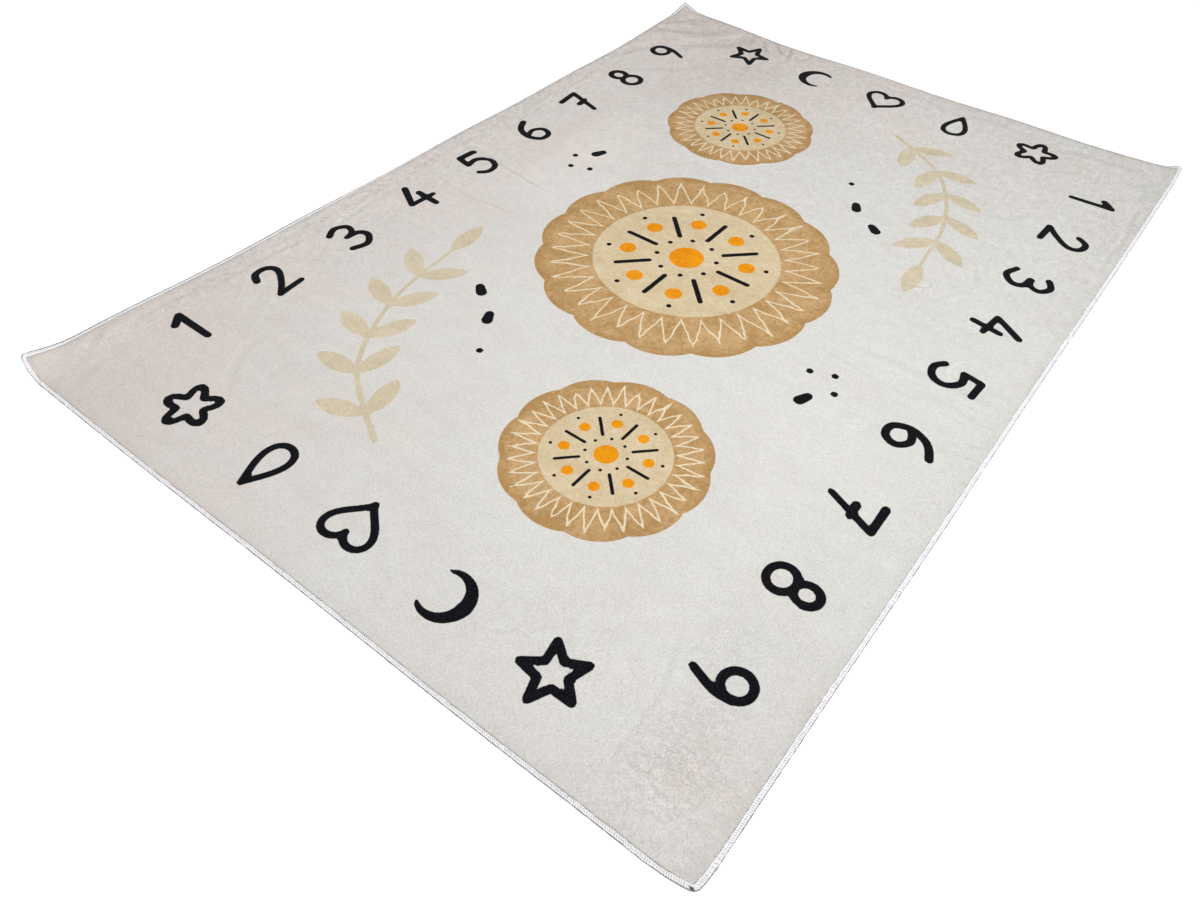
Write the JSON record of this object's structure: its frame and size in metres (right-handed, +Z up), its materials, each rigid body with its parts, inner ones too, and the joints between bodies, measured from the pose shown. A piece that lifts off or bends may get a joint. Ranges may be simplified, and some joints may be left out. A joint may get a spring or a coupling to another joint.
{
  "type": "printed kids rug",
  "caption": "Rectangular short-pile printed rug with gently curled corners and a thread-wrapped rim; lies flat on a floor to soften and decorate it.",
  "frame": {"origin": "on the floor, below the middle of the rug", "axes": "+X along the long sides, +Y along the short sides, +Z up out of the pile"},
  "size_m": [1.9, 1.33, 0.0379],
  "materials": {
    "plush_cloth": "short velour pile, off-white with a printed pattern in tan, beige, orange and black",
    "edging_thread": "overlocked white thread, slightly glossy"
  },
  "bodies": {
    "root": {"rug_panel": "plush_cloth", "serged_edge": "edging_thread"}
  },
  "joints": []
}
